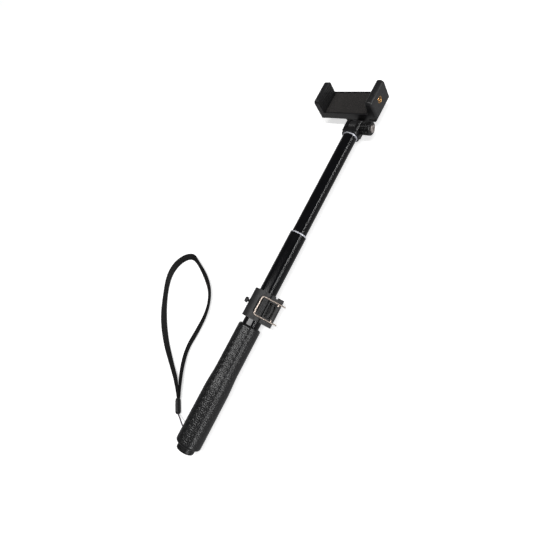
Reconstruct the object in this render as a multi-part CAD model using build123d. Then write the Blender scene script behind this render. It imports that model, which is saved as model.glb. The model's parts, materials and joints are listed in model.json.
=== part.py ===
from build123d import *
import math
import os

# Telescopic selfie stick with a twist-lock pole, a tilting spring phone holder, a remote-control clip
# on the outer tube and a wrist lanyard. It lies on its back on a flat surface: +Y runs along the pole
# from the grip to the phone holder, +X along the holder towards the thumb knob, and +Z up out of the
# phone pad. Sub-parts are drawn about the pole's axis, with Y = 0 at the grip's lower end, and moved
# to the part's own origin, the centre of the bounding box's base, when they are written.

# ---- pole and grip -------------------------------------------------------------------------------
GRIP_LENGTH = 134.0
GRIP_PALM_R = 13.65          # swollen lower stretch, under the palm
GRIP_NECK_R = 12.5           # slimmer upper stretch
GRIP_PALM_END = 58.0
GRIP_NECK_START = 84.0
GRIP_EDGE = 2.6              # rounding of both ends
CAP_R = 9.6
CAP_THICKNESS = 6.2
OUTER_R = 9.5                # outer tube, 19 mm
MIDDLE_R = 8.2               # middle tube, 16.4 mm
TOP_R = 6.9                  # top tube, 13.8 mm
TUBE_WALL = 0.9
RUNNING_GAP = 0.06           # radial play of every sliding or turning fit
CLEARANCE = 0.3              # air between separate bodies
OUTER_END = 245.1
MIDDLE_START = 165.0
MIDDLE_END = 375.6
TOP_START = 206.0
TOP_END = 380.8
LOWER_RING = (9.65, 1.5)     # trim rings: outer radius, height
UPPER_RING = (8.85, 1.8)
BUSH_LENGTH = 14.0
PLUG_LENGTH = 12.0
COLLET_LENGTH = 18.6
LOWER_STUD_R = 3.5
UPPER_STUD_R = 2.8

# ---- head fork and tilt hinge --------------------------------------------------------------------
SOCKET_R = 10.7
SOCKET_END = 384.4
SPIGOT_START = 365.8         # the socket's spigot reaches down into the top tube
PIVOT_Y = 389.8
EAR_R = 8.2
EAR_INNER = 5.1
EAR_OUTER = 9.9
LUG_R = 7.4
LUG_HALF = 4.8
ARM_TOP = 5.0                # height of the lug's arm where it meets the lug
BOLT_R = 2.5
HEX_FLATS = 8.0
KNOB_R = 7.5
KNOB_START = 11.0
KNOB_END = 22.0
KNOB_FLUTES = 14
KNOB_GROOVE_X = 19.6         # the flutes stop at this groove
BOLT_HEAD_START = 19.4
BOLT_HEAD_END = 23.4
BOLT_RECESS_R = 1.7
BOLT_RECESS_DEPTH = 1.0
BUSH_R = 3.6                 # plain bearing in the hinge lug
NUT_DEPTH = 3.5

# ---- phone holder --------------------------------------------------------------------------------
HOLDER_FRONT = 403.5
HOLDER_BACK = 436.0
DECK_Z = 5.8                 # face that the phone's back lies on
BASE_Z = -3.6                # underside of the long base
COVER_Z = -5.9               # underside of the thicker back cover
JAW_TOP = 23.2
BASE_LEFT = -50.3
COVER_LEFT = -20.0
BLOCK_INNER = 11.3
BLOCK_OUTER = 21.3
BLOCK_LEAN = 0.4             # how far the fixed jaw's inner face leans outwards at its top
JAW_OUTER = -56.2
JAW_INNER = -50.6
LINER_FACE = -48.9
JAW_CORNER_R = 3.4           # the sliding jaw's upper corners, seen from its outer side
JAW_RIM = 1.3                # raised rim round the sliding jaw's ribbed facing
JAW_EDGE_R = 1.8             # rounding of its outer face
JAW_LIP = 1.5                # the same rim along its top
BLOCK_TOP_R = 4.5            # rounding of the fixed jaw's top ridge
BLOCK_FRONT_R = 3.0          # rounding of the fixed jaw's front end
CHANNEL = (407.8, 431.8, -1.7, 3.2)       # hollow for the tongue: y from, y to, z from, z to
SPRING_Y = (410.4, 429.2)
SPRING_Z = 1.2
SPRING_PIN_R = 0.75
MOVING_PIN_X = -20.4
FIXED_PIN_X = 8.4
INSERT_Y = (HOLDER_FRONT + HOLDER_BACK) / 2
INSERT_Z = 11.5
INSERT_R = 4.0
INSERT_BORE_R = 2.6
INSERT_START = 13.5
SCREW_R = 0.8
SCREW_HEAD_R = 1.7
SCREW_HEAD_RANGE = (0.2, 1.3)             # a screw head's ends above the cover's underside
SCREW_CROSS = (1.1, 0.2, 0.6)             # its cross recess: half length, half width, depth
SCREW_TOP = 1.5

# ---- remote-control clip, drawn with its lug towards +X and turned about the pole ----------------
CLIP_TURN = 37.0
CLIP_LOW = 141.0
CLIP_HIGH = 173.0
CLIP_MIDDLE = (CLIP_LOW + CLIP_HIGH) / 2
COLLAR_R = 12.2
COLLAR_SHIFT = -1.7          # the collar is thicker on the side away from the lug
CLIP_LINER_WALL = 0.35
LUG_END = 19.4
LUG_BACK = 1.5
LUG_FRONT = 12.0
WINDOW_HALF = 8.2
WIRE_R = 0.75
HOOP_HALF = 10.4
HOOP_BAR_X = -3.0
HOOP_TAIL_X = 23.4
HOOP_Z = 13.05
HOOP_PIN_X = 16.2
SET_SCREW_R = 1.5
SET_SCREW_HEAD = (-18.6, -15.0)           # ends of its domed head
SET_SCREW_HEAD_R = 3.0
SET_SCREW_DOME_R = 1.4

# ---- lanyard -------------------------------------------------------------------------------------
TABLE_Z = -GRIP_PALM_R       # the surface that the stick lies on
STRING_R = 0.8
STRING_HOLE_R = 1.15
STRING_Y = 10.0
SLEEVE_R = 3.4
SLEEVE_NEAR = (-39.0, 12.5)
SLEEVE_FAR = (-50.2, 25.3)
STRAP_WIDTH = 8.2
STRAP_THICKNESS = 1.2
STRING_ROUTE = [(-8.2, 10.0, 0.0), (-16.5, 10.0, -0.3), (-25.5, 10.3, -5.0), (-33.0, 11.3, -8.9),
                (-39.0, 12.5, -10.25)]
STRAP_ROUTE = [(-51.0, 24.6), (-64, 37), (-86, 50), (-114, 67), (-139, 90), (-160, 116), (-171, 140),
               (-169, 158), (-160, 172), (-148, 179), (-132, 174), (-106, 161), (-86, 146), (-76, 124),
               (-76, 98), (-77, 76), (-70, 56), (-59, 38), (-49.4, 26.0)]

# The part's origin, seen from the pole's axis at the grip's lower end.
CENTRE_X = (JAW_OUTER + BOLT_HEAD_END) / 2
CENTRE_Y = (HOLDER_BACK - CAP_THICKNESS) / 2
TO_ORIGIN = Pos(-CENTRE_X, -CENTRE_Y, -TABLE_Z)


def rod(radius, y0, y1, x=0.0, z=0.0):
    """Round bar along the pole."""
    return Pos(x, (y0 + y1) / 2, z) * Rot(-90, 0, 0) * Cylinder(radius, y1 - y0)


def cross_rod(radius, x0, x1, y=0.0, z=0.0):
    """Round bar along X."""
    return Pos((x0 + x1) / 2, y, z) * Rot(0, 90, 0) * Cylinder(radius, x1 - x0)


def upright_rod(radius, z0, z1, x, y):
    """Round bar along Z."""
    return Pos(x, y, (z0 + z1) / 2) * Cylinder(radius, z1 - z0)


def pipe(outer, inner, y0, y1):
    return rod(outer, y0, y1) - rod(inner, y0, y1)


def block(x0, x1, y0, y1, z0, z1):
    return Pos((x0 + x1) / 2, (y0 + y1) / 2, (z0 + z1) / 2) * Box(x1 - x0, y1 - y0, z1 - z0)


def hexagon(flats, x0, x1, y, z):
    """Hexagonal bar along X."""
    outline = Pos(x0, y, z) * Rot(0, 90, 0) * RegularPolygon(flats / 2, 6, major_radius=False)
    return extrude(outline, x1 - x0, dir=(1, 0, 0))


def turned(lines):
    """Solid turned about the pole's axis from a closed outline in the XY plane."""
    return revolve(make_face(Curve() + lines), Axis.Y)


def route_radii(points):
    """Corner radii of a cord's path: as large as the two runs at each corner allow."""
    radii = []
    for before, here, after in zip(points, points[1:], points[2:]):
        arriving = Vector(*here) - Vector(*before)
        leaving = Vector(*after) - Vector(*here)
        half_turn = math.radians(arriving.get_angle(leaving)) / 2
        radii.append(0.45 * min(arriving.length, leaving.length) / math.tan(half_turn))
    return radii


def cord_path(name, points):
    radii = route_radii(points)
    path = FilletPolyline(*points, radius=radii)
    print(name, "length", round(path.length, 1), "radii", [round(r, 1) for r in radii])
    return path


# ---- pole ----------------------------------------------------------------------------------------

def string_hole():
    return cross_rod(STRING_HOLE_R, -GRIP_PALM_R - 1, -OUTER_R + TUBE_WALL + 1, STRING_Y)


def outer_tube():
    return pipe(OUTER_R, OUTER_R - TUBE_WALL, 0, OUTER_END) - string_hole()


def grip_sleeve():
    lower = (GRIP_PALM_R - GRIP_EDGE, 0)
    lower_edge = (GRIP_PALM_R, GRIP_EDGE)
    palm_end = (GRIP_PALM_R, GRIP_PALM_END)
    neck_start = (GRIP_NECK_R, GRIP_NECK_START)
    swell = (GRIP_NECK_START - GRIP_PALM_END) * 0.45
    upper_edge = (GRIP_NECK_R, GRIP_LENGTH - GRIP_EDGE)
    upper = (GRIP_NECK_R - GRIP_EDGE, GRIP_LENGTH)
    lines = [
        Line((OUTER_R, 0), lower),
        RadiusArc(lower, lower_edge, -GRIP_EDGE),
        Line(lower_edge, palm_end),
        Bezier(palm_end, (GRIP_PALM_R, GRIP_PALM_END + swell), (GRIP_NECK_R, GRIP_NECK_START - swell),
               neck_start),
        Line(neck_start, upper_edge),
        RadiusArc(upper_edge, upper, -GRIP_EDGE),
        Line(upper, (OUTER_R, GRIP_LENGTH)),
        Line((OUTER_R, GRIP_LENGTH), (OUTER_R, 0)),
    ]
    return turned(lines) - string_hole()


def end_cap():
    plug_depth = 7.0
    plug_wall = 1.8
    floor = 2.0
    cap = rod(CAP_R, -CAP_THICKNESS, 0)
    cap = fillet(cap.edges().group_by(Axis.Y)[0], 1.6)
    plug = rod(OUTER_R - TUBE_WALL, 0, plug_depth)
    hollow = rod(OUTER_R - TUBE_WALL - plug_wall, floor - CAP_THICKNESS, plug_depth)
    return cap + plug - hollow


def guide_bush(tube_bore, inner_tube_r, mouth):
    return pipe(tube_bore, inner_tube_r + RUNNING_GAP, mouth - BUSH_LENGTH, mouth)


def trim_ring(size, inner_tube_r, y0):
    outer, height = size
    ring = pipe(outer, inner_tube_r + 2 * RUNNING_GAP, y0, y0 + height)
    return chamfer(ring.edges().group_by(Axis.Y)[-1].sort_by(SortBy.RADIUS)[-1], 0.35)


def lock_plug(tube_r, stud_r, y0, stud_length):
    """Plug in the lower end of an inner tube, with the stud that its collet rides on."""
    flange = 1.6
    body = rod(tube_r - TUBE_WALL, y0, y0 + PLUG_LENGTH)
    body += rod(tube_r, y0 - flange, y0)
    return body + rod(stud_r, y0 - flange - stud_length, y0)


def collet(bore_r, stud_r, y1):
    """Split expander ring that grips the bore of the next larger tube."""
    slit_width = 1.0
    slit_length = COLLET_LENGTH - 4.0
    y0 = y1 - COLLET_LENGTH
    ring = pipe(bore_r - RUNNING_GAP, stud_r + RUNNING_GAP, y0, y1)
    for turn in (90, 210, 330):
        slit = block(0, bore_r, y0, y0 + slit_length, -slit_width / 2, slit_width / 2)
        ring -= Rot(0, turn, 0) * slit
    return ring


# ---- head ----------------------------------------------------------------------------------------

def fork_head():
    slot_floor = PIVOT_Y - LUG_R - 0.4
    socket = rod(SOCKET_R, MIDDLE_END + UPPER_RING[1] + CLEARANCE, SOCKET_END)
    socket = fillet(socket.edges().group_by(Axis.Y)[-1], 1.2)
    neck = rod(SOCKET_R - 0.8, SOCKET_END - 2, SOCKET_END + 2.2)
    ears = block(-EAR_OUTER, EAR_OUTER, SOCKET_END - 4, PIVOT_Y, -EAR_R, EAR_R)
    ears += cross_rod(EAR_R, -EAR_OUTER, EAR_OUTER, PIVOT_Y)
    ears = ears & rod(SOCKET_R + 1.2, SOCKET_END - 4, PIVOT_Y + EAR_R + 1)
    body = socket + neck + ears
    body += cross_rod(KNOB_R - 0.6, EAR_OUTER - 1, EAR_OUTER + 0.3, PIVOT_Y)
    body -= block(-EAR_INNER, EAR_INNER, slot_floor, PIVOT_Y + 20, -20, 20)
    body -= rod(TOP_R, MIDDLE_END, TOP_END)
    body += rod(TOP_R - TUBE_WALL, SPIGOT_START, TOP_END + 1)
    body -= cross_rod(BOLT_R + RUNNING_GAP, -20, 20, PIVOT_Y)
    body -= hexagon(HEX_FLATS, -EAR_OUTER - 3, -EAR_OUTER + NUT_DEPTH, PIVOT_Y, 0)
    return body


def hinge_nut():
    nut = hexagon(HEX_FLATS, -EAR_OUTER + 0.2, -EAR_OUTER + NUT_DEPTH, PIVOT_Y, 0)
    return nut - cross_rod(BOLT_R + RUNNING_GAP, -20, 20, PIVOT_Y)


def hinge_bolt():
    shank = cross_rod(BOLT_R, -EAR_OUTER + 0.4, BOLT_HEAD_START + 0.5, PIVOT_Y)
    head = hexagon(HEX_FLATS, BOLT_HEAD_START, BOLT_HEAD_END, PIVOT_Y, 0)
    crown = cross_rod(HEX_FLATS * 0.56, BOLT_HEAD_START, BOLT_HEAD_END, PIVOT_Y)
    crown = chamfer(crown.edges().group_by(Axis.X)[-1], 0.6)
    recess = cross_rod(BOLT_RECESS_R, BOLT_HEAD_END - BOLT_RECESS_DEPTH, BOLT_HEAD_END + 1, PIVOT_Y)
    return shank + (head & crown) - recess


def thumb_knob():
    groove_width = 0.5
    barrel = cross_rod(KNOB_R, KNOB_START, KNOB_END, PIVOT_Y)
    barrel = chamfer(barrel.edges().group_by(Axis.X)[-1], 0.9)
    flute_r = 1.0
    for index in range(KNOB_FLUTES):
        turn = math.radians(360 * index / KNOB_FLUTES)
        y = PIVOT_Y + (KNOB_R + 0.45) * math.cos(turn)
        z = (KNOB_R + 0.45) * math.sin(turn)
        barrel -= cross_rod(flute_r, KNOB_START - 1, KNOB_GROOVE_X, y, z)
    groove = cross_rod(KNOB_R + 1, KNOB_GROOVE_X, KNOB_GROOVE_X + groove_width, PIVOT_Y)
    barrel -= groove - cross_rod(KNOB_R - 0.6, KNOB_GROOVE_X - 1, KNOB_GROOVE_X + 1, PIVOT_Y)
    barrel -= cross_rod(BOLT_R, 0, KNOB_END, PIVOT_Y)
    return barrel - hexagon(HEX_FLATS, BOLT_HEAD_START, KNOB_END + 1, PIVOT_Y, 0)


def knob_washer():
    washer = cross_rod(KNOB_R - 2.5, EAR_OUTER + 0.4, KNOB_START - 0.1, PIVOT_Y)
    return washer - cross_rod(BOLT_R + RUNNING_GAP, 0, 20, PIVOT_Y)


# ---- phone holder --------------------------------------------------------------------------------

def hinge_bush():
    """Plain bearing pressed into the hinge lug."""
    bore = cross_rod(BOLT_R + RUNNING_GAP, -LUG_HALF - 1, LUG_HALF + 1, PIVOT_Y)
    return cross_rod(BUSH_R, -LUG_HALF, LUG_HALF, PIVOT_Y) - bore


def screw_places():
    return [(-16.5, 405.6), (-16.5, 433.9), (15.5, 407.0), (15.5, 432.5)]


def cover_screws():
    screws = []
    head_low, head_high = SCREW_HEAD_RANGE
    reach, half, depth = SCREW_CROSS
    for x, y in screw_places():
        shank = upright_rod(SCREW_R, COVER_Z + depth, SCREW_TOP, x, y)
        head = upright_rod(SCREW_HEAD_R, COVER_Z + head_low, COVER_Z + head_high, x, y)
        for half_x, half_y in ((reach, half), (half, reach)):
            head -= block(x - half_x, x + half_x, y - half_y, y + half_y, COVER_Z, COVER_Z + depth)
        screws.append(shank + head)
    return Compound(children=screws)


def back_cover():
    """Thick plate behind the base, with the hinge lug that reaches forward into the fork."""
    plate = block(COVER_LEFT, BLOCK_OUTER - 1.5, HOLDER_FRONT, HOLDER_BACK, COVER_Z, BASE_Z)
    plate = chamfer(plate.edges().filter_by(Axis.Y).group_by(Axis.Z)[0], 1.6)
    lug = cross_rod(LUG_R, -LUG_HALF, LUG_HALF, PIVOT_Y)
    side = make_face(Polyline((PIVOT_Y, COVER_Z), (HOLDER_FRONT, COVER_Z), (HOLDER_FRONT, BASE_Z),
                              (PIVOT_Y, ARM_TOP), close=True))
    arm = extrude(Plane((-LUG_HALF, 0, 0), x_dir=(0, 1, 0), z_dir=(1, 0, 0)) * side, 2 * LUG_HALF)
    cover = plate + lug + arm
    cover -= cross_rod(BUSH_R, -LUG_HALF, LUG_HALF, PIVOT_Y)
    for x, y in screw_places():
        cover -= upright_rod(SCREW_R, COVER_Z - 1, BASE_Z + 1, x, y)
        cover -= upright_rod(SCREW_HEAD_R, COVER_Z - 1, COVER_Z + 1.3, x, y)
    return cover


def block_outline():
    """Section of the fixed jaw: its inner face leans outwards and its top is rounded."""
    section = make_face(Polyline((BLOCK_INNER - 2, BASE_Z), (BLOCK_INNER - 2, DECK_Z),
                                 (BLOCK_INNER, DECK_Z), (BLOCK_INNER + BLOCK_LEAN, JAW_TOP),
                                 (BLOCK_OUTER, JAW_TOP), (BLOCK_OUTER, BASE_Z), close=True))
    top = section.vertices().group_by(Axis.Y)[-1]
    section = fillet(top, BLOCK_TOP_R)
    lower_right = section.vertices().group_by(Axis.Y)[0].sort_by(Axis.X)[-1]
    return fillet(lower_right, 2.2)


def holder_body():
    """Long hollow base and the thick fixed jaw at its right end, in one moulding."""
    depth = HOLDER_BACK - HOLDER_FRONT
    base = block(BASE_LEFT, BLOCK_INNER, HOLDER_FRONT, HOLDER_BACK, BASE_Z, DECK_Z)
    base = fillet(base.edges().filter_by(Axis.X).group_by(Axis.Z)[0], 1.0)
    upright = Plane((0, HOLDER_BACK, 0), x_dir=(1, 0, 0), z_dir=(0, -1, 0)) * block_outline()
    jaw = extrude(upright, depth, dir=(0, -1, 0))
    jaw = fillet(jaw.edges().group_by(Axis.Y)[0].sort_by(Axis.X)[-5:], BLOCK_FRONT_R)
    body = base + jaw
    y0, y1, z0, z1 = CHANNEL
    body -= block(BASE_LEFT - 1, FIXED_PIN_X + 2.0, y0, y1, z0, z1)
    body -= pad_recess(0.0, -1.2)
    body -= cross_rod(INSERT_R, INSERT_START, BLOCK_OUTER + 1, INSERT_Y, INSERT_Z)
    for x, y in screw_places():
        body -= upright_rod(SCREW_R, BASE_Z - 1, SCREW_TOP, x, y)
    return body


def pad_recess(gap, floor):
    """Shallow pocket for the phone pad, or the pad itself when a gap is left round it."""
    return block(BASE_LEFT + 3.0 + gap, BLOCK_INNER - 1.4 - gap, HOLDER_FRONT + 1.4 + gap,
                 HOLDER_BACK - 1.4 - gap, DECK_Z + floor, DECK_Z - (0.15 if gap else -1.0))


def holder_pad():
    return pad_recess(0.45, -1.2)


def fixed_jaw_liner():
    """Thin rubber sheet on the fixed jaw's leaning inner face."""
    lean = math.degrees(math.atan2(BLOCK_LEAN, JAW_TOP - DECK_Z))
    sheet = block(-0.6, 0.0, HOLDER_FRONT + 2.5, HOLDER_BACK - 2.5, 0.8, 11.0)
    return Pos(BLOCK_INNER, 0, DECK_Z) * Rot(0, lean, 0) * sheet


def brass_insert():
    barrel = cross_rod(INSERT_R, INSERT_START, BLOCK_OUTER + 0.05, INSERT_Y, INSERT_Z)
    return barrel - cross_rod(INSERT_BORE_R, 0, BLOCK_OUTER + 1, INSERT_Y, INSERT_Z)


def sliding_jaw():
    """Upright jaw with the long tongue that slides in the base, and two side tabs for its springs."""
    y0, y1, z0, z1 = CHANNEL
    low, high = z0 + CLEARANCE, z1 - CLEARANCE
    front, back, deck = HOLDER_FRONT + CLEARANCE, HOLDER_BACK - CLEARANCE, DECK_Z + CLEARANCE
    plate = block(JAW_OUTER, LINER_FACE, front, back, BASE_Z, JAW_TOP)
    plate = fillet(plate.edges().filter_by(Axis.X).group_by(Axis.Z)[-1], JAW_CORNER_R)
    plate = fillet(plate.faces().sort_by(Axis.X)[0].edges(), JAW_EDGE_R)
    plate -= block(JAW_INNER, LINER_FACE + 1, front - 1, back + 1, BASE_Z - 1, deck)
    plate -= block(JAW_INNER, LINER_FACE + 1, front + JAW_RIM, back - JAW_RIM, deck, JAW_TOP - JAW_LIP)
    tongue = block(JAW_INNER - 1, 2.0, SPRING_Y[0] + 3.0, SPRING_Y[1] - 3.0, low, high)
    tabs = block(MOVING_PIN_X - 1.6, MOVING_PIN_X + 1.3, y0 + CLEARANCE, y1 - CLEARANCE, low, 0.0)
    jaw = plate + tongue + tabs
    for y in SPRING_Y:
        jaw += upright_rod(SPRING_PIN_R, low, SPRING_Z + 1.3, MOVING_PIN_X, y)
    return jaw


def jaw_liner():
    """Ribbed rubber facing of the sliding jaw."""
    ribs = 12
    y0, y1 = HOLDER_FRONT + CLEARANCE + JAW_RIM, HOLDER_BACK - CLEARANCE - JAW_RIM
    z0, z1 = DECK_Z + CLEARANCE, JAW_TOP - JAW_LIP
    face = block(JAW_INNER, LINER_FACE - 0.55, y0, y1, z0, z1)
    pitch = (y1 - y0) / ribs
    for index in range(ribs):
        middle = y0 + (index + 0.5) * pitch
        face += block(JAW_INNER, LINER_FACE, middle - pitch * 0.28, middle + pitch * 0.28, z0, z1)
    return face


def spring_anchor_pins():
    z0, z1 = CHANNEL[2], CHANNEL[3]
    return Compound(children=[upright_rod(SPRING_PIN_R, z0, z1, FIXED_PIN_X, y) for y in SPRING_Y])


def jaw_spring(y):
    """Closed-wound extension spring, drawn as its envelope with an eye at each end."""
    eye_r = 1.25
    eye_wire = 0.3
    coil_r = 1.8
    x0 = MOVING_PIN_X + eye_r + 0.15
    x1 = FIXED_PIN_X - eye_r - 0.15
    coil = cross_rod(coil_r, x0, x1, y, SPRING_Z)
    coil -= cross_rod(coil_r - 0.6, x0 + 0.4, x1 - 0.4, y, SPRING_Z)
    for x in (MOVING_PIN_X, FIXED_PIN_X):
        coil += Pos(x, y, SPRING_Z) * Torus(eye_r, eye_wire)
    return coil


# ---- remote-control clip -------------------------------------------------------------------------

def clip_liner():
    bore = OUTER_R + RUNNING_GAP
    return pipe(bore + CLIP_LINER_WALL, bore, CLIP_LOW + 0.5, CLIP_HIGH - 0.5)


def clip_collar():
    """Collar with a square lug: a window with a leaf spring and a barrel that carries the wire hoop."""
    bore = OUTER_R + 2 * RUNNING_GAP + CLIP_LINER_WALL
    low, high = CLIP_MIDDLE - WINDOW_HALF, CLIP_MIDDLE + WINDOW_HALF
    body = rod(COLLAR_R, CLIP_LOW, CLIP_HIGH, COLLAR_SHIFT)
    lug = block(6.0, LUG_END, CLIP_LOW, CLIP_HIGH, LUG_BACK, LUG_FRONT)
    body += fillet(lug.edges().filter_by(Axis.Y).group_by(Axis.X)[-1], 0.8)
    body += rod(1.9, low + 0.3, high - 0.3, HOOP_PIN_X, HOOP_Z)
    body -= rod(bore, CLIP_LOW - 1, CLIP_HIGH + 1)
    body -= block(7.2, HOOP_PIN_X - 2.0, low, high, 6.4, LUG_FRONT + 2)
    for x in (HOOP_BAR_X - 1.75, HOOP_BAR_X + 1.75):
        body -= block(x - 0.65, x + 0.65, low, high, COLLAR_R - 2.4, COLLAR_R + 1)
    for index in range(4):
        x = 1.0 + 1.4 * index
        body -= block(x - 0.3, x + 0.3, low, high, 10.6, COLLAR_R + 1)
    body -= rod(WIRE_R, CLIP_LOW, CLIP_HIGH, HOOP_PIN_X, HOOP_Z)
    for y in (CLIP_MIDDLE - HOOP_HALF, CLIP_MIDDLE + HOOP_HALF):
        body -= block(HOOP_PIN_X - 1.4, LUG_END + 1, y - 1.2, y + 1.2, 4.2, LUG_FRONT + 3)
    body -= upright_rod(1.1, 0, LUG_FRONT + 3, 11.3, CLIP_HIGH - 0.7)
    body -= block(10.2, 12.4, CLIP_HIGH - 0.7, CLIP_HIGH + 1, 0, LUG_FRONT + 3)
    return body - cross_rod(SET_SCREW_R + RUNNING_GAP, -20, -5, CLIP_MIDDLE)


def clip_leaf():
    """Bowed leaf spring that stands in the clip's window."""
    low, high = CLIP_MIDDLE - WINDOW_HALF + 0.4, CLIP_MIDDLE + WINDOW_HALF - 0.4
    outer = ThreePointArc((12.4, low), (13.6, CLIP_MIDDLE), (12.4, high))
    inner = ThreePointArc((10.0, high), (11.2, CLIP_MIDDLE), (10.0, low))
    edges = [outer, Line((12.4, high), (10.0, high)), inner, Line((10.0, low), (12.4, low))]
    return Pos(0, 0, 6.4) * extrude(make_face(Curve() + edges), 4.9, dir=(0, 0, 1))


def clip_set_screw():
    left, right = SET_SCREW_HEAD
    head = cross_rod(SET_SCREW_HEAD_R, left, right, CLIP_MIDDLE)
    head = fillet(head.edges().group_by(Axis.X)[0], SET_SCREW_DOME_R)
    return head + cross_rod(SET_SCREW_R, right - 0.2, -10.2, CLIP_MIDDLE)


def wire_hoop():
    """U of spring wire with a cross pin in the lug's barrel and two short tails."""
    low, high = CLIP_MIDDLE - HOOP_HALF, CLIP_MIDDLE + HOOP_HALF
    corners = [(HOOP_TAIL_X, low, HOOP_Z), (HOOP_BAR_X, low, HOOP_Z), (HOOP_BAR_X, high, HOOP_Z),
               (HOOP_TAIL_X, high, HOOP_Z)]
    path = FilletPolyline(*corners, radius=1.9)
    section = Plane(corners[0], z_dir=(-1, 0, 0)) * Circle(WIRE_R)
    hoop = sweep(section, path=path)
    return hoop + rod(WIRE_R - 0.05, low, high, HOOP_PIN_X, HOOP_Z)


# ---- lanyard -------------------------------------------------------------------------------------

def lanyard_knot():
    return Pos(STRING_ROUTE[0][0] + 1.5, STRING_Y, 0) * Sphere(1.6)


def lanyard_string():
    path = cord_path("lanyard_string", STRING_ROUTE)
    section = Plane(path @ 0, z_dir=path % 0) * Circle(STRING_R)
    return sweep(section, path=path)


def lanyard_sleeve():
    run = Vector(*SLEEVE_FAR) - Vector(*SLEEVE_NEAR)
    heading = math.degrees(math.atan2(run.Y, run.X))
    sleeve = Rot(0, 90, 0) * Cylinder(SLEEVE_R, run.length)
    sleeve = fillet(sleeve.edges().filter_by(GeomType.CIRCLE), 0.9)
    middle = (Vector(*SLEEVE_NEAR) + Vector(*SLEEVE_FAR)) * 0.5
    return Pos(middle.X, middle.Y, TABLE_Z + SLEEVE_R) * Rot(0, 0, heading) * sleeve


def lanyard_strap():
    height = TABLE_Z + STRAP_WIDTH / 2
    path = cord_path("lanyard_strap", [(x, y, height) for x, y in STRAP_ROUTE])
    start = Plane(path @ 0, x_dir=(0, 0, 1), z_dir=path % 0)
    return sweep(start * Rectangle(STRAP_WIDTH, STRAP_THICKNESS), path=path)


def pole_parts():
    outer_bore = OUTER_R - TUBE_WALL
    middle_bore = MIDDLE_R - TUBE_WALL
    return {
        "outer_tube": outer_tube(),
        "grip_sleeve": grip_sleeve(),
        "end_cap": end_cap(),
        "lower_guide_bush": guide_bush(outer_bore, MIDDLE_R, OUTER_END),
        "lower_trim_ring": trim_ring(LOWER_RING, MIDDLE_R, OUTER_END),
        "middle_tube": pipe(MIDDLE_R, middle_bore, MIDDLE_START, MIDDLE_END),
        "lower_lock_plug": lock_plug(MIDDLE_R, LOWER_STUD_R, MIDDLE_START, 20.0),
        "lower_collet": collet(outer_bore, LOWER_STUD_R, MIDDLE_START - 2.0),
        "upper_guide_bush": guide_bush(middle_bore, TOP_R, MIDDLE_END),
        "upper_trim_ring": trim_ring(UPPER_RING, TOP_R, MIDDLE_END),
        "top_tube": pipe(TOP_R, TOP_R - TUBE_WALL, TOP_START, TOP_END),
        "upper_lock_plug": lock_plug(TOP_R, UPPER_STUD_R, TOP_START, 20.0),
        "upper_collet": collet(middle_bore, UPPER_STUD_R, TOP_START - 2.0),
    }


def head_parts():
    return {
        "fork_head": fork_head(),
        "hinge_nut": hinge_nut(),
        "hinge_bolt": hinge_bolt(),
        "thumb_knob": thumb_knob(),
        "knob_washer": knob_washer(),
        "hinge_bush": hinge_bush(),
        "holder_back_cover": back_cover(),
        "cover_screws": cover_screws(),
        "holder_body": holder_body(),
        "holder_pad": holder_pad(),
        "fixed_jaw_liner": fixed_jaw_liner(),
        "brass_insert": brass_insert(),
        "sliding_jaw": sliding_jaw(),
        "jaw_liner": jaw_liner(),
        "spring_anchor_pins": spring_anchor_pins(),
        "jaw_spring_front": jaw_spring(SPRING_Y[0]),
        "jaw_spring_rear": jaw_spring(SPRING_Y[1]),
    }


def clip_parts():
    turned_parts = {
        "clip_collar": clip_collar(),
        "clip_leaf": clip_leaf(),
        "clip_set_screw": clip_set_screw(),
        "wire_hoop": wire_hoop(),
    }
    parts = {name: Rot(0, CLIP_TURN, 0) * shape for name, shape in turned_parts.items()}
    parts["clip_liner"] = clip_liner()
    return parts


def lanyard_parts():
    return {
        "lanyard_knot": lanyard_knot(),
        "lanyard_string": lanyard_string(),
        "lanyard_sleeve": lanyard_sleeve(),
        "lanyard_strap": lanyard_strap(),
    }


def main():
    os.makedirs("parts", exist_ok=True)
    for group in (pole_parts(), head_parts(), clip_parts(), lanyard_parts()):
        for name, shape in group.items():
            export_step(TO_ORIGIN * shape, f"parts/{name}.step")


main()
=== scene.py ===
import json
import math

import bmesh
import bpy
import numpy as np
from mathutils import Matrix, Vector


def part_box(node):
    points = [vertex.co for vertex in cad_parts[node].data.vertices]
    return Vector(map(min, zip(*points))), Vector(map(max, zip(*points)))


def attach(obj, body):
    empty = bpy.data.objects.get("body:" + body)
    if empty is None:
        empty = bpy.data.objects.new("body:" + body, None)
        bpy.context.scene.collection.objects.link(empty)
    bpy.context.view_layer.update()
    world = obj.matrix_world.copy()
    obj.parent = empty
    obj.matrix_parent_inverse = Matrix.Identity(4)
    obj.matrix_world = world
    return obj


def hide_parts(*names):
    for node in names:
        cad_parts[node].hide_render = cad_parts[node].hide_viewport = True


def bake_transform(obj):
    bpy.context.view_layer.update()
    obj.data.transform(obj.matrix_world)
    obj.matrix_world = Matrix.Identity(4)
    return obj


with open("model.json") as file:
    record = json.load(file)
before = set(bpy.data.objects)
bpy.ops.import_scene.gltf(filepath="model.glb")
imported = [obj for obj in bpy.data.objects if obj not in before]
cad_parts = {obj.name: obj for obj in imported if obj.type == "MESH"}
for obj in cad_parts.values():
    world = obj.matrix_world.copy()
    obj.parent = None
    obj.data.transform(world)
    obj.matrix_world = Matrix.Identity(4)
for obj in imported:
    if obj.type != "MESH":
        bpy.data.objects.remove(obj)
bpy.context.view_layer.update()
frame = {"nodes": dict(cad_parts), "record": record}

# ---- places ---------------------------------------------------------------------------------------
# Lengths below are in mm about the pole's axis, with y = 0 at the grip's lower end. at() turns them
# into the shared frame, in metres, from where the CAD says the tube and the grip are.
MM = 0.001
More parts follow.
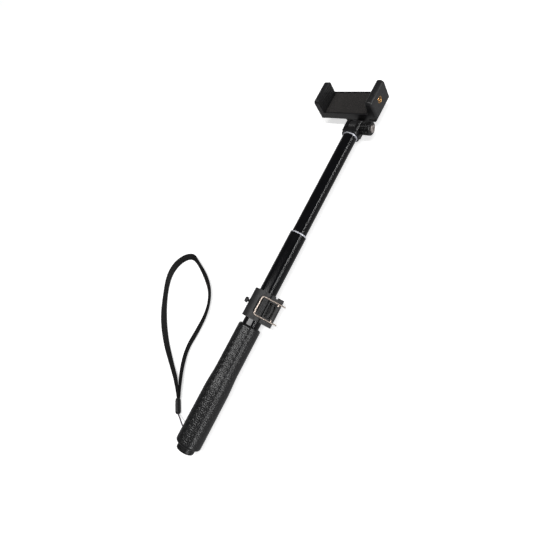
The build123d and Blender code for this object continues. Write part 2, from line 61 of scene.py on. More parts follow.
tube_low, tube_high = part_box("outer_tube")
AXIS_X = (tube_low[0] + tube_high[0]) / 2
AXIS_Z = (tube_low[2] + tube_high[2]) / 2
GRIP_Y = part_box("grip_sleeve")[0][1]

TUBE_R = 9.5
# grip: radius at the palm and at the neck, length, edge rounding, and where the waist starts and ends
PALM_R, NECK_R, GRIP_LENGTH, GRIP_EDGE = 13.65, 12.5, 134.0, 2.6
PALM_END, NECK_START = 58.0, 84.0
TABLE_Z = -PALM_R        # the pole lies on the table on its grip


def at(x, y, z=0.0):
    return Vector((AXIS_X + x * MM, GRIP_Y + y * MM, AXIS_Z + z * MM))


# ---- camera ---------------------------------------------------------------------------------------
CAMERA_PLACE = (247.84, 138.54, 328.28)
CAMERA_RIGHT, CAMERA_BACK = (0.7275, 0.4659, -0.5036), (0.6239, -0.1438, 0.7682)
SENSOR_WIDTH, LENS = 36.0, 25.909


def add_camera():
    data = bpy.data.cameras.new("camera")
    data.sensor_width = SENSOR_WIDTH
    data.lens = LENS
    data.clip_start = 0.01
    data.clip_end = 20.0
    camera = bpy.data.objects.new("camera", data)
    bpy.context.collection.objects.link(camera)
    right = Vector(CAMERA_RIGHT).normalized()
    back = Vector(CAMERA_BACK).normalized()
    up = back.cross(right).normalized()
    right = up.cross(back).normalized()
    turn = Matrix((right, up, back)).transposed().to_4x4()
    camera.matrix_world = Matrix.Translation(at(*CAMERA_PLACE)) @ turn
    bpy.context.scene.camera = camera


add_camera()


# ---- mesh helpers ---------------------------------------------------------------------------------
def new_object(name, mesh):
    """A smooth-shaded object, linked to the scene."""
    obj = bpy.data.objects.new(name, mesh)
    bpy.context.collection.objects.link(obj)
    mesh.polygons.foreach_set("use_smooth", [True] * len(mesh.polygons))
    return obj


def round_turn(points):
    """Evenly spaced angles once round a circle, in radians."""
    return np.linspace(0, 2 * math.pi, points, endpoint=False)


def tube_ring(turn, side, up):
    """Unit circle of points across a path, one for each angle in turn."""
    return np.outer(np.cos(turn), side) + np.outer(np.sin(turn), up)


def run_length(path):
    """Distance along a path to each of its points, in mm."""
    steps = np.linalg.norm(np.diff(path, axis=0), axis=1)
    return np.concatenate(([0], np.cumsum(steps))) / MM


def grid_mesh(name, rings, ends="caps"):
    """Closed surface through equal rings of points.

    ends is caps, or loop where the last ring joins the first.
    """
    rings = np.asarray(rings, float)
    rows, columns = rings.shape[:2]
    last = rows if ends == "loop" else rows - 1
    faces = []
    for i in range(last):
        here, after = i * columns, ((i + 1) % rows) * columns
        for j in range(columns):
            k = (j + 1) % columns
            faces.append((here + j, here + k, after + k, after + j))
    if ends == "caps":
        faces.append(tuple(range(columns - 1, -1, -1)))
        faces.append(tuple(range((rows - 1) * columns, rows * columns)))
    mesh = bpy.data.meshes.new(name)
    mesh.from_pydata(rings.reshape(-1, 3).tolist(), [], faces)
    mesh.validate()
    outward(mesh)
    return mesh


def outward(mesh):
    """Turns a closed mesh's faces to point outwards."""
    work = bmesh.new()
    work.from_mesh(mesh)
    bmesh.ops.recalc_face_normals(work, faces=work.faces)
    work.to_mesh(mesh)
    work.free()


def nurbs_points(points, steps):
    """Points along the smooth NURBS spline that has these control points."""
    data = bpy.data.curves.new("route", "CURVE")
    data.dimensions = "3D"
    spline = data.splines.new("NURBS")
    spline.points.add(len(points) - 1)
    for target, p in zip(spline.points, points):
        target.co = (p[0], p[1], p[2], 1.0)
    spline.order_u = 3
    spline.use_endpoint_u = True
    spline.resolution_u = steps
    curve = bpy.data.objects.new("route", data)
    bpy.context.collection.objects.link(curve)
    bpy.context.view_layer.update()
    mesh = bpy.data.meshes.new_from_object(curve)
    found = np.array([v.co for v in mesh.vertices], float)
    bpy.data.objects.remove(curve)
    bpy.data.curves.remove(data)
    bpy.data.meshes.remove(mesh)
    return found


def tangents(path):
    """Unit direction of a path at each of its points."""
    step = np.gradient(path, axis=0)
    return step / np.linalg.norm(step, axis=1)[:, None]


def carried_frames(path):
    """Two normals at each point, carried along without twisting."""
    along = tangents(path)
    side = np.cross(along[0], (0.0, 0.0, 1.0))
    side /= np.linalg.norm(side)
    sides = []
    for t in along:
        side = side - t * side.dot(t)
        side /= np.linalg.norm(side)
        sides.append(side)
    sides = np.array(sides)
    return sides, np.cross(along, sides)


def turned_mesh(name, outline, start, axis, around=64):
    """Surface turned about an axis from (distance along, radius) pairs, in mm."""
    axis = Vector(axis).normalized()
    side = axis.orthogonal().normalized()
    ring = tube_ring(round_turn(around), side, axis.cross(side))
    rings = []
    for along, radius in outline:
        centre = np.array(start + axis * along * MM)
        rings.append(centre + ring * radius * MM)
    return grid_mesh(name, rings)


# ---- materials ------------------------------------------------------------------------------------
class Paint:
    """A node material. Textures lie in the shared frame, and per_mm is their repeats in each mm."""

    def __init__(self, name, base, rough, metallic=0.0, sheen=0.0, gloss=0.5):
        self.material = bpy.data.materials.new(name)
        self.material.use_nodes = True
        self.tree = self.material.node_tree
        self.shader = self.tree.nodes["Principled BSDF"]
        self.shader.inputs["Base Color"].default_value = (*base, 1.0)
        self.shader.inputs["Roughness"].default_value = rough
        self.shader.inputs["Metallic"].default_value = metallic
        self.shader.inputs["Sheen Weight"].default_value = sheen
        self.shader.inputs["Specular IOR Level"].default_value = gloss
        self.space = self.node("ShaderNodeTexCoord").outputs["Object"]
        self.height = None

    def node(self, kind, **values):
        made = self.tree.nodes.new(kind)
        for key, value in values.items():
            setattr(made, key, value)
        return made

    def join(self, source, target):
        self.tree.links.new(source, target)

    def texture(self, kind, space_scale, settings, **values):
        """A texture node of this kind, fed with the frame's coordinates times space_scale."""
        mapping = self.node("ShaderNodeMapping")
        mapping.inputs["Scale"].default_value = space_scale
        self.join(self.space, mapping.inputs["Vector"])
        made = self.node(kind, **values)
        for key, value in settings.items():
            made.inputs[key].default_value = value
        self.join(mapping.outputs["Vector"], made.inputs["Vector"])
        return made

    def noise(self, per_mm, stretch=(1, 1, 1), detail=4.0):
        """Cloudy noise, drawn out along an axis where stretch is small."""
        scale = [per_mm / MM * s for s in stretch]
        settings = {"Scale": 1.0, "Detail": detail, "Roughness": 0.55}
        return self.texture("ShaderNodeTexNoise", scale, settings).outputs["Fac"]

    def cells(self, per_mm):
        """Distance from scattered points: pores, grains and specks."""
        made = self.texture("ShaderNodeTexVoronoi", [per_mm / MM] * 3, {"Scale": 1.0})
        return made.outputs["Distance"]

    def bands(self, direction, per_mm):
        """Fine parallel lines across one axis of the frame."""
        settings = {"Scale": per_mm, "Distortion": 0.6, "Detail": 2.0}
        made = self.texture("ShaderNodeTexWave", [1.0 / MM] * 3, settings, bands_direction=direction)
        return made.outputs["Fac"]

    def attribute(self, name):
        """A value stored at the mesh's points."""
        return self.node("ShaderNodeAttribute", attribute_name=name).outputs["Fac"]

    def spread(self, source, low, high, out_low, out_high):
        """A value between out_low and out_high as the source goes from low to high."""
        made = self.node("ShaderNodeMapRange")
        limits = {"From Min": low, "From Max": high, "To Min": out_low, "To Max": out_high}
        for key, value in limits.items():
            made.inputs[key].default_value = value
        self.join(source, made.inputs["Value"])
        return made.outputs["Result"]

    def colour(self, source, dark, light, low=0.35, high=0.65):
        """Base colour from dark to light as the source goes from low to high."""
        ramp = self.node("ShaderNodeValToRGB")
        ramp.color_ramp.elements[0].position = low
        ramp.color_ramp.elements[0].color = (*dark, 1.0)
        ramp.color_ramp.elements[1].position = high
        ramp.color_ramp.elements[1].color = (*light, 1.0)
        self.join(source, ramp.inputs["Fac"])
        self.join(ramp.outputs["Color"], self.shader.inputs["Base Color"])
        return self

    def roughness(self, source, low, high):
        """Roughness between low and high, following the source's middle range."""
        self.join(self.spread(source, 0.3, 0.7, low, high), self.shader.inputs["Roughness"])
        return self

    def bump(self, source, depth_mm):
        """Adds shallow relief to the shading, on top of any bump that is there."""
        made = self.node("ShaderNodeBump")
        made.inputs["Distance"].default_value = depth_mm * MM
        made.inputs["Strength"].default_value = 1.0
        self.join(source, made.inputs["Height"])
        if self.height is not None:
            self.join(self.height, made.inputs["Normal"])
        self.height = made.outputs["Normal"]
        self.join(self.height, self.shader.inputs["Normal"])
        return self


def make_materials():
    made = {}
    # gloss black tube: faint drawing lines run its whole length
    p = Paint("black_tube", (0.003, 0.003, 0.0035), 0.12, gloss=0.28)
    streak = p.noise(2.2, (1, 0.012, 1), detail=3.0)
    p.colour(p.noise(0.05, detail=2.0), (0.0015, 0.0015, 0.002), (0.003, 0.003, 0.004))
    p.roughness(streak, 0.1, 0.15).bump(streak, 0.0001)
    made["black_tube"] = p
    # moulded rubber: the lattice is real relief, and its colour is also painted darker down in the
    # grooves as painted shade
    p = Paint("grip_rubber", (0.01, 0.01, 0.0105), 0.3, gloss=0.46)
    p.colour(p.attribute("relief"), (0.001, 0.001, 0.0012), (0.0075, 0.0075, 0.0082), 0.1, 0.9)
    p.roughness(p.noise(1.3), 0.24, 0.33).bump(p.noise(6.0, detail=6.0), 0.004)
    made["grip_rubber"] = p
    # satin moulded plastic with a fine spark-eroded grain
    p = Paint("satin_black_plastic", (0.01, 0.01, 0.011), 0.42, gloss=0.5)
    p.colour(p.noise(0.35, detail=5.0), (0.0065, 0.0065, 0.007), (0.012, 0.012, 0.013))
    p.roughness(p.noise(1.1), 0.32, 0.48).bump(p.cells(5.0), 0.014).bump(p.noise(0.5), 0.02)
    made["satin_black_plastic"] = p
    # the same plastic from a polished mould, with its base colour halved as painted shade, partly for
    # the shade under the holder: fork, knob and end cap
    p = Paint("polished_black_plastic_partly_painted_shade", (0.005, 0.005, 0.005), 0.3, gloss=0.42)
    p.colour(p.noise(0.35, detail=5.0), (0.003, 0.003, 0.0032), (0.0065, 0.0065, 0.007))
    p.roughness(p.noise(1.1), 0.22, 0.36).bump(p.noise(0.5), 0.02)
    made["polished_black_plastic_partly_painted_shade"] = p
    # unpolished plastic of the parts inside the pole
    p = Paint("bush_plastic", (0.03, 0.03, 0.03), 0.45)
    p.colour(p.noise(0.8), (0.02, 0.02, 0.02), (0.034, 0.034, 0.036))
    p.roughness(p.noise(2.0), 0.38, 0.52).bump(p.noise(4.0), 0.012)
    made["bush_plastic"] = p
    # bright turned aluminium: fine rings left by the tool
    p = Paint("silver_ring", (0.6, 0.61, 0.66), 0.4, metallic=0.55)
    lines = p.bands("Y", 3.5)
    p.colour(p.noise(0.9), (0.5, 0.51, 0.56), (0.68, 0.69, 0.74))
    p.roughness(lines, 0.36, 0.5).bump(lines, 0.01)
    made["silver_ring"] = p
    # plated screws and nuts, a little tarnished
    p = Paint("steel_fastener", (0.5, 0.47, 0.46), 0.36, metallic=0.85)
    p.colour(p.noise(0.7, detail=6.0), (0.34, 0.3, 0.28), (0.56, 0.52, 0.5))
    p.roughness(p.noise(2.2), 0.28, 0.46).bump(p.noise(6.0), 0.012)
    made["steel_fastener"] = p
    # drawn spring wire, slightly warm from tempering
    p = Paint("spring_steel", (0.62, 0.53, 0.46), 0.34, metallic=0.7)
    p.colour(p.noise(0.5), (0.5, 0.42, 0.36), (0.66, 0.56, 0.49))
    p.roughness(p.noise(3.0, detail=5.0), 0.26, 0.42).bump(p.noise(9.0), 0.006)
    made["spring_steel"] = p
    # foam rubber pad: dark, with pale specks and open cells
    p = Paint("pad_rubber", (0.012, 0.012, 0.012), 0.8, gloss=0.35)
    p.colour(p.cells(1.5), (0.09, 0.08, 0.076), (0.021, 0.0195, 0.0185), 0.1, 0.42)
    p.roughness(p.noise(1.5), 0.6, 0.85).bump(p.cells(1.5), 0.12).bump(p.noise(5.0), 0.04)
    made["pad_rubber"] = p
    # soft rubber of the liners and the lanyard's sleeve
    p = Paint("black_rubber", (0.012, 0.012, 0.012), 0.42, gloss=0.5)
    p.colour(p.noise(0.9), (0.009, 0.009, 0.0095), (0.016, 0.016, 0.0165))
    p.roughness(p.noise(1.8), 0.4, 0.58).bump(p.noise(6.0, detail=6.0), 0.02)
    made["black_rubber"] = p
    # turned brass
    p = Paint("brass", (0.8, 0.5, 0.2), 0.22, metallic=1.0)
    turning = p.bands("X", 4.0)
    p.colour(p.noise(0.6, detail=5.0), (0.5, 0.26, 0.085), (0.86, 0.55, 0.27))
    p.roughness(turning, 0.16, 0.3).bump(turning, 0.01)
    made["brass"] = p
    # the clip's plastic, duller and greyer than the holder's
    p = Paint("clip_plastic", (0.022, 0.022, 0.022), 0.5, gloss=0.45)
    p.colour(p.noise(0.4, detail=6.0), (0.016, 0.016, 0.0165), (0.026, 0.026, 0.027))
    p.roughness(p.noise(1.4), 0.42, 0.6).bump(p.cells(4.0), 0.02).bump(p.noise(0.6), 0.02)
    made["clip_plastic"] = p
    # twisted nylon
    p = Paint("lanyard_cord", (0.06, 0.05, 0.065), 0.75, sheen=0.3)
    p.colour(p.noise(2.6, detail=5.0), (0.045, 0.036, 0.05), (0.15, 0.125, 0.165))
    p.roughness(p.noise(4.0), 0.62, 0.85).bump(p.noise(10.0), 0.04)
    made["lanyard_cord"] = p
    # woven webbing: a painted highlight on the yarn crowns and painted shade in the gaps between them
    p = Paint("strap_webbing", (0.004, 0.004, 0.004), 0.7, gloss=0.3)
    p.colour(p.attribute("relief"), (0.0012, 0.0012, 0.0012), (0.0062, 0.0062, 0.0066), 0.1, 0.9)
    p.roughness(p.noise(3.0), 0.58, 0.8).bump(p.noise(9.0, detail=6.0), 0.03)
    made["strap_webbing"] = p
    return made


paints = make_materials()


def finish_piece(obj, slot, body, *nodes):
    """Gives a new piece its slot's material and its body, in place of the CAD nodes it stands for.

    body is None for a piece that is attached to no body here.
    """
    obj.data.materials.clear()
    obj.data.materials.append(paints[slot].material)
    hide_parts(*nodes)
    if body:
        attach(obj, body)
    return obj


def store_relief(mesh, values):
    """Keeps how raised each point of a moulded or woven surface is, which its material turns into
    painted shade in the hollows and a painted highlight on the tops.
    """
    relief = mesh.attributes.new("relief", "FLOAT", "POINT")
    relief.data.foreach_set("value", np.array(values, np.float32))


# ---- cords ----------------------------------------------------------------------------------------
STRING_ROUTE = [(-8.2, 10.0, 0.0), (-16.5, 10.0, -0.3), (-25.5, 10.3, -5.0), (-33.0, 11.3, -8.9),
                (-39.0, 12.5, -10.25)]
STRAP_ROUTE = [(-51.0, 24.6), (-64, 37), (-86, 50), (-114, 67), (-139, 90), (-160, 116), (-171, 140),
               (-169, 158), (-160, 172), (-148, 179), (-132, 174), (-106, 161), (-86, 146), (-76, 124),
               (-76, 98), (-77, 76), (-70, 56), (-59, 38), (-49.4, 26.0)]
# How far the webbing leans at each point of its route, in degrees: 0 lies flat, 90 stands on its edge.
STRAP_LEAN = [23, 18, 13, -6, -23, -2, -20, -44, -44, -18, -44, -21, -30, -20, -5, -9, -13, -22, -24]
STRAP_HALF_WIDTH, STRAP_HALF_THICK = 4.1, 0.6
STRAP_AIR = 0.3          # gap kept between the band and the table
GATHER_LEAST, GATHER_REACH = 0.55, 20.0      # the band is folded narrower where the sleeve holds it
YARNS_ACROSS, WEAVE_ROW = 4.5, 0.9           # waves across the band, and the length of one woven row
STRING_R, STRING_PITCH = 0.8, 4.2            # the pitch is one full turn of the strands
SLEEVE_NEAR, SLEEVE_FAR, SLEEVE_R = (-39.0, 12.5), (-50.2, 25.3), 3.4
SLEEVE_FLATTEN = 0.14
KNOT_INSET, KNOT_SIZE, KNOT_CORD_R = 1.5, 0.4, 0.42


def make_string():
    """Three twisted strands, as one lobed section that turns along the cord."""
    path = nurbs_points([at(*p) for p in STRING_ROUTE], 40)
    sides, ups = carried_frames(path)
    turn = round_turn(36)
    lobes = 0.78 + 0.22 * np.abs(np.cos(1.5 * turn))
    rings = []
    for centre, side, up, s in zip(path, sides, ups, run_length(path)):
        ring = tube_ring(turn + 2 * math.pi * s / STRING_PITCH, side, up)
        rings.append(centre + ring * (lobes * STRING_R * MM)[:, None])
    obj = new_object("lanyard_string_twisted", grid_mesh("lanyard_string_twisted", rings))
    return finish_piece(obj, "lanyard_cord", "handle", "lanyard_string"), path


def make_sleeve():
    """Moulded rubber sleeve, slightly oval, with a rounded lip at each end."""
    near = at(*SLEEVE_NEAR, TABLE_Z + SLEEVE_R)
    far = at(*SLEEVE_FAR, TABLE_Z + SLEEVE_R)
    length = (far - near).length / MM
    outline = [(0.0, 0.85), (0.05, 1.5), (0.35, 2.2), (0.9, 2.8), (1.7, 3.15), (2.8, 3.3), (4.2, 3.35),
               (length * 0.5, 3.36), (length - 3.6, 3.32), (length - 2.2, 3.2), (length - 1.1, 2.95),
               (length - 0.4, 2.7), (length - 0.08, 2.45), (length, 2.2), (length - 0.5, 2.0),
               (length - 1.6, 1.9)]
    mesh = turned_mesh("lanyard_sleeve_moulded", outline, near, far - near)
    across = (far - near).cross(Vector((0, 0, 1))).normalized()
    for v in mesh.vertices:
        v.co -= across * (v.co - near).dot(across) * SLEEVE_FLATTEN
    obj = new_object("lanyard_sleeve_moulded", mesh)
    return finish_piece(obj, "black_rubber", "handle", "lanyard_sleeve")


def make_knot():
    """Overhand knot inside the tube, as a closed trefoil."""
    centre = at(STRING_ROUTE[0][0] + KNOT_INSET, STRING_ROUTE[0][1], 0)
    turn = round_turn(120)
    path = np.stack([np.sin(turn) + 2 * np.sin(2 * turn), np.cos(turn) - 2 * np.cos(2 * turn),
                     -np.sin(3 * turn)], axis=1) * (KNOT_SIZE * MM) + np.array(centre)
    step = np.roll(path, -1, axis=0) - np.roll(path, 1, axis=0)
    along = step / np.linalg.norm(step, axis=1)[:, None]
    out = path - np.array(centre)
    side = np.cross(along, out)
    side /= np.linalg.norm(side, axis=1)[:, None]
    up = np.cross(along, side)
    rings = [p + tube_ring(round_turn(14), s, u) * KNOT_CORD_R * MM for p, s, u in zip(path, side, up)]
    obj = new_object("lanyard_knot_tied", grid_mesh("lanyard_knot_tied", rings, "loop"))
    return finish_piece(obj, "lanyard_cord", "handle", "lanyard_knot")


def strap_height(lean):
    """Height of the band's middle over the table when it leans this far, with a little air."""
    a = math.radians(abs(lean))
    return STRAP_HALF_WIDTH * math.sin(a) + STRAP_HALF_THICK * math.cos(a) + STRAP_AIR


def make_strap():
    """Woven band along its route, leaning as it goes, with yarns standing up from it."""
    steps = 52
    route = [at(x, y, TABLE_Z + strap_height(lean)) for (x, y), lean in zip(STRAP_ROUTE, STRAP_LEAN)]
    path = nurbs_points(route, steps)
    leans = np.radians(nurbs_points([(float(lean), 0.0, 0.0) for lean in STRAP_LEAN], steps)[:, 0])
    along = tangents(path)
    run = run_length(path)
    up = np.array((0.0, 0.0, 1.0))
    side = np.cross(along, up)
    side /= np.linalg.norm(side, axis=1)[:, None]
    over = np.cross(side, along)
    edge = np.linspace(-1, 1, 15)
    yarn = math.pi * YARNS_ACROSS
    rings, relief = [], []
    for i, centre in enumerate(path):
        width = side[i] * math.cos(leans[i]) + over[i] * math.sin(leans[i])
        normal = -side[i] * math.sin(leans[i]) + over[i] * math.cos(leans[i])
        from_end = min(run[i], run[-1] - run[i])
        gather = GATHER_LEAST + (1 - GATHER_LEAST) * min(1.0, from_end / GATHER_REACH)
        weave = 0.5 + 0.5 * np.sin(yarn * edge + math.pi * (np.floor(run[i] / WEAVE_ROW) % 2))
        crown = np.sqrt(np.maximum(0.0, 1 - np.abs(edge) ** 6))
        thick = STRAP_HALF_THICK * crown * (0.82 + 0.18 * weave)
        reach = width * STRAP_HALF_WIDTH * gather
        top = [centre + (reach * e + normal * t) * MM for e, t in zip(edge, thick)]
        low = [centre + (reach * e - normal * t) * MM
               for e, t in zip(edge[-2:0:-1], thick[-2:0:-1])]
        rings.append(top + low)
        # the weave's height, which the webbing's material turns into a painted highlight on the crowns
        # and painted shade in the gaps
        relief.extend(list(weave) + list(weave[-2:0:-1]))
    mesh = grid_mesh("lanyard_strap_webbing", rings)
    store_relief(mesh, relief)
    obj = new_object("lanyard_strap_webbing", mesh)
    return finish_piece(obj, "strap_webbing", "handle", "lanyard_strap"), path


string, string_path = make_string()
sleeve = make_sleeve()
knot = make_knot()
strap, strap_path = make_strap()


# ---- grip -----------------------------------------------------------------------------------------
CELL_PITCH, CELL_COLUMNS, CELL_DEPTH = 6.2, 16, 0.2      # the moulded hexagons
GROOVE_HALF = 0.42                                       # groove between two hexagons
MOAT_R, MOAT_HALF, MOAT_PART = 1.15, 0.4, 0.8            # ring round the dot in each hexagon
PLAIN_END, PATTERN_FADE = 3.4, 0.8                       # plain band at each end of the grip


def grip_radius(y):
    """Radius of the smooth grip at this distance from its lower end."""
    if y < GRIP_EDGE:
        return PALM_R - GRIP_EDGE + math.sqrt(max(0.0, GRIP_EDGE ** 2 - (GRIP_EDGE - y) ** 2))
    if y > GRIP_LENGTH - GRIP_EDGE:
        rise = y - (GRIP_LENGTH - GRIP_EDGE)
        return NECK_R - GRIP_EDGE + math.sqrt(max(0.0, GRIP_EDGE ** 2 - rise ** 2))
    part = min(1.0, max(0.0, (y - PALM_END) / (NECK_START - PALM_END)))
    return PALM_R + (NECK_R - PALM_R) * part * part * (3 - 2 * part)


def lattice(across, along):
    """How far the pattern of hexagons is sunk, 0 to 1, at points across and along the grip."""
    pitch, column = CELL_PITCH, CELL_PITCH * math.sqrt(3) / 2
    best = np.full(across.shape, 1e9)
    offset = np.zeros(across.shape + (2,))
    first = np.floor(across / column)
    for shift in (-1, 0, 1, 2):
        index = first + shift
        row_start = np.where(index % 2 == 0, 0.0, pitch / 2)
        row = np.round((along - row_start) / pitch)
        du = across - index * column
        dv = along - (row * pitch + row_start)
        away = du ** 2 + dv ** 2
        nearer = away < best
        best = np.where(nearer, away, best)
        offset[..., 0] = np.where(nearer, du, offset[..., 0])
        offset[..., 1] = np.where(nearer, dv, offset[..., 1])
    to_edge = np.full(across.shape, 1e9)
    for angle in range(30, 390, 60):
        a = math.radians(angle)
        reach = pitch / 2 - (offset[..., 0] * math.cos(a) + offset[..., 1] * math.sin(a))
        to_edge = np.minimum(to_edge, reach)
    away = np.sqrt(best)
    groove = np.clip(1 - to_edge / GROOVE_HALF, 0, 1)
    moat = np.clip(1 - np.abs(away - MOAT_R) / MOAT_HALF, 0, 1) * MOAT_PART
    return np.maximum(groove, moat)


def make_grip():
    """Rubber grip with its moulded pattern as real relief, and its bore on the tube."""
    around, stations_along, stations_on_edge = 320, 400, 12
    upper_edge = GRIP_LENGTH - GRIP_EDGE
    stations = np.concatenate([np.linspace(0, GRIP_EDGE, stations_on_edge)[:-1],
                               np.linspace(GRIP_EDGE, upper_edge, stations_along),
                               np.linspace(upper_edge, GRIP_LENGTH, stations_on_edge)[1:]])
    turn = round_turn(around)
    girth = CELL_COLUMNS * CELL_PITCH * math.sqrt(3) / 2
    across, along = np.meshgrid(turn / (2 * math.pi) * girth, stations)
    fade = (np.clip((stations - PLAIN_END) / PATTERN_FADE, 0, 1)
            * np.clip((GRIP_LENGTH - PLAIN_END - stations) / PATTERN_FADE, 0, 1))
    sunk = lattice(across, along) * fade[:, None]
    rings, relief = [], []
    for i, y in enumerate(stations):
        radius = grip_radius(y) - CELL_DEPTH * sunk[i]
        rings.append([at(r * math.cos(a), y, r * math.sin(a)) for r, a in zip(radius, turn)])
        # how raised each point is; the grip's material turns low values into painted shade in the
        # grooves and the bore
        relief.extend(1 - sunk[i])
    for y in (GRIP_LENGTH, 0.0):       # the bore, from the upper end back to the lower
        rings.append([at(TUBE_R * math.cos(a), y, TUBE_R * math.sin(a)) for a in turn])
        relief.extend([0.2] * around)
    mesh = grid_mesh("grip_sleeve_moulded", rings, "loop")
    store_relief(mesh, relief)
    obj = new_object("grip_sleeve_moulded", mesh)
    return finish_piece(obj, "grip_rubber", "handle", "grip_sleeve")


make_grip()


# ---- threaded insert and springs ------------------------------------------------------------------
THREAD_PITCH, THREAD_MINOR_R, THREAD_DEPTH = 1.27, 2.6, 0.5      # 1/4-20
MOUTH_LENGTH, MOUTH_FLARE = 0.6, 0.55
INNER_CHAMFER, OUTER_CHAMFER = 0.2, 0.35
SPRING_WIRE_R, SPRING_COIL_R, SPRING_HOOK, SPRING_TURNS = 0.28, 1.5, 2.9, 34


def make_insert():
    """Brass insert with its real inside thread and a chamfered mouth."""
    low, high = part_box("brass_insert")
    middle_y, middle_z = (low[1] + high[1]) / 2, (low[2] + high[2]) / 2
    outer = (high[1] - low[1]) / 2 / MM
    length = (high[0] - low[0]) / MM
    around = 48
    turn = round_turn(around)

    def ring(x, radius):
        return [(low[0] + x * MM, middle_y + r * math.cos(a) * MM, middle_z + r * math.sin(a) * MM)
                for r, a in zip(np.broadcast_to(radius, around), turn)]

    rings = [ring(0, outer - INNER_CHAMFER), ring(INNER_CHAMFER, outer),
             ring(length - OUTER_CHAMFER, outer), ring(length, outer - OUTER_CHAMFER)]
    for x in np.linspace(0, length, 90)[::-1]:
        phase = (x / THREAD_PITCH - turn / (2 * math.pi)) % 1.0
        tooth = 1 - np.abs(2 * phase - 1)
        flare = max(0.0, 1 - (length - x) / MOUTH_LENGTH) * MOUTH_FLARE
        rings.append(ring(x, THREAD_MINOR_R + THREAD_DEPTH * tooth + flare))
    obj = new_object("brass_insert_threaded", grid_mesh("brass_insert_threaded", rings, "loop"))
    return finish_piece(obj, "brass", "holder", "brass_insert")


def make_spring(node):
    """Coil of an extension spring, a hook's length clear of each pin."""
    low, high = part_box(node)
    y, z = (low[1] + high[1]) / 2, (low[2] + high[2]) / 2
    coil_r = SPRING_COIL_R * MM
    x0, x1 = low[0] + SPRING_HOOK * MM, high[0] - SPRING_HOOK * MM
    steps = SPRING_TURNS * 16
    path = []
    for k in range(steps + 1):
        t = k / steps
        a = 2 * math.pi * SPRING_TURNS * t
        path.append((x0 + (x1 - x0) * t, y + coil_r * math.cos(a), z + coil_r * math.sin(a)))
    path = np.array(path)
    sides, ups = carried_frames(path)
    wire = SPRING_WIRE_R * MM
    rings = [p + tube_ring(round_turn(8), s, u) * wire for p, s, u in zip(path, sides, ups)]
    obj = new_object(node + "_wound", grid_mesh(node + "_wound", rings))
    finish_piece(obj, "spring_steel", None, node)
    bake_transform(obj)


make_insert()
make_spring("jaw_spring_front")
make_spring("jaw_spring_rear")


# ---- CAD nodes that keep their shape --------------------------------------------------------------
# width in mm of the small moulded radius on each node's edges
EDGE_SOFTNESS = {"holder_body": 0.45, "holder_back_cover": 0.4, "sliding_jaw": 0.45, "fork_head": 0.2,
                 "thumb_knob": 0.22, "clip_collar": 0.35, "end_cap": 0.25, "clip_leaf": 0.25,
                 "holder_pad": 0.3}
# nodes whose plastic comes from a polished mould and is painted darker as shade, though its slot is the
# same
POLISHED_PARTLY_SHADED = {"fork_head": "polished_black_plastic_partly_painted_shade", "thumb_knob": "polished_black_plastic_partly_painted_shade",
         "end_cap": "polished_black_plastic_partly_painted_shade"}


def soften(obj, width):
    """Small moulded radius on a CAD node's sharp edges, which catches the light as the real one does."""
    weld = obj.modifiers.new("weld", "WELD")
    weld.merge_threshold = 0.01 * MM
    bevel = obj.modifiers.new("bevel", "BEVEL")
    bevel.width = width * MM
    bevel.segments = 3
    bevel.limit_method = "ANGLE"
    bevel.angle_limit = math.radians(32)
    bevel.harden_normals = True
    normals = obj.modifiers.new("normals", "WEIGHTED_NORMAL")
    normals.keep_sharp = True


def dress_nodes():
    """Gives each CAD node that still shows its slot's material, and softens its edges."""
    for part in frame["record"]["subparts"]:
        obj = frame["nodes"][part["node"]]
        if obj.hide_render:
            continue
        slot = part["material_slot"]
        obj.data.materials.clear()
        obj.data.materials.append(paints[POLISHED_PARTLY_SHADED.get(part["node"], slot)].material)
        if part["node"] in EDGE_SOFTNESS:
            soften(obj, EDGE_SOFTNESS[part["node"]])


dress_nodes()


# ---- floor, backdrop and light --------------------------------------------------------------------
# Lengths here are in metres.
FLOOR_Z = AXIS_Z + TABLE_Z * MM
FLOOR_DROP, DIM_FLOOR_DROP = 0.0002, 0.0004      # each lies just below what stands on the table
STAGE_REACH = 9.0        # half the floor's side, and the backdrop's radius
WALL_SIDES = 96
WALL_LOW, WALL_HIGH = -0.6, 7.0
STAGE_WHITE, STAGE_BLACK = 0.86, 0.02
WORLD_GLOW = 0.12


def add_stage_piece(name, points, faces, shade, glow, unseen_by):
    """A plain surface that isn't part of the object. The kinds of ray in unseen_by don't meet it."""
    mesh = bpy.data.meshes.new(name)
    mesh.from_pydata(points, [], faces)
    obj = bpy.data.objects.new(name, mesh)
    bpy.context.collection.objects.link(obj)
    p = Paint(name, (shade, shade, shade), 0.9)
    p.colour(p.noise(0.4), (shade - 0.005,) * 3, (shade + 0.005,) * 3)
    p.shader.inputs["Emission Color"].default_value = (1.0, 1.0, 1.0, 1.0)
    p.shader.inputs["Emission Strength"].default_value = glow
    mesh.materials.append(p.material)
    for ray in unseen_by:
        setattr(obj, "visible_" + ray, False)


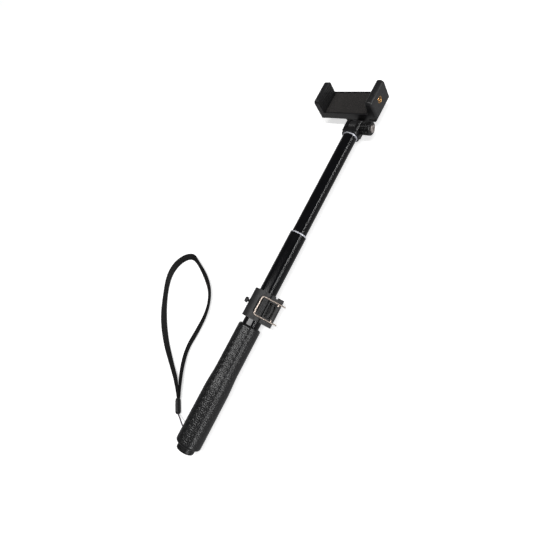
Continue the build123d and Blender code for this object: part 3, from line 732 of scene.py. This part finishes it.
def add_stage():
    r, square = STAGE_REACH, [(0, 1, 2, 3)]

    def corners(z):
        return [(-r, -r, z), (r, -r, z), (r, r, z), (-r, r, z)]

    # white acrylic table, partly lit from below so that shadows on it stay faint
    add_stage_piece("floor", corners(FLOOR_Z - FLOOR_DROP), square, STAGE_WHITE, 0.63, ["glossy"])
    # what the object's gloss sees of the table: dimmer than the table, so that black finishes stay deep
    add_stage_piece("dim_floor", corners(FLOOR_Z - DIM_FLOOR_DROP), square, STAGE_BLACK, 0.36,
                    ["camera", "diffuse", "transmission", "shadow"])
    # a pale wall all round, beyond the lights, which throws no light on the object
    turns = [2 * math.pi * i / WALL_SIDES for i in range(WALL_SIDES)]
    ring = [(r * math.cos(a), r * math.sin(a)) for a in turns]
    low = [(x, y, FLOOR_Z + WALL_LOW) for x, y in ring]
    high = [(x, y, FLOOR_Z + WALL_HIGH) for x, y in ring]
    nexts = [(i + 1) % WALL_SIDES for i in range(WALL_SIDES)]
    faces = [(i, WALL_SIDES + i, WALL_SIDES + j, j) for i, j in enumerate(nexts)]
    add_stage_piece("backdrop", low + high, faces, STAGE_WHITE, 0.8,
                    ["diffuse", "glossy", "transmission", "shadow"])


def add_area(name, place, aim, size, power):
    """A rectangular area light at place, turned to face aim, with its power in watts."""
    data = bpy.data.lights.new(name, "AREA")
    data.shape = "RECTANGLE"
    data.size, data.size_y = size
    data.energy = power
    light = bpy.data.objects.new(name, data)
    bpy.context.collection.objects.link(light)
    light.location = place
    light.rotation_euler = (Vector(aim) - Vector(place)).to_track_quat("-Z", "Y").to_euler()


def add_light():
    """Soft studio light: a dim even world and three strips along the pole, overhead and at the side."""
    world = bpy.data.worlds.new("studio")
    bpy.context.scene.world = world
    world.use_nodes = True
    world.node_tree.nodes["Background"].inputs["Color"].default_value = (1.0, 1.0, 1.0, 1.0)
    world.node_tree.nodes["Background"].inputs["Strength"].default_value = WORLD_GLOW
    # the overhead strip is broad, and the two slim ones stand low down on the thumb knob's side
    add_area("overhead", (0.3, 0.0, 4.0), (0, 0, 0), (0.5, 5.0), 106.0)
    add_area("side_high", (3.4, 0.3, 1.3), (0, 0.05, 0), (4.5, 0.1), 62.0)
    add_area("side_low", (3.65, 0.3, 0.4), (0, 0.05, 0), (4.5, 0.05), 29.0)
    bpy.context.scene.view_settings.view_transform = "Standard"


add_stage()
add_light()
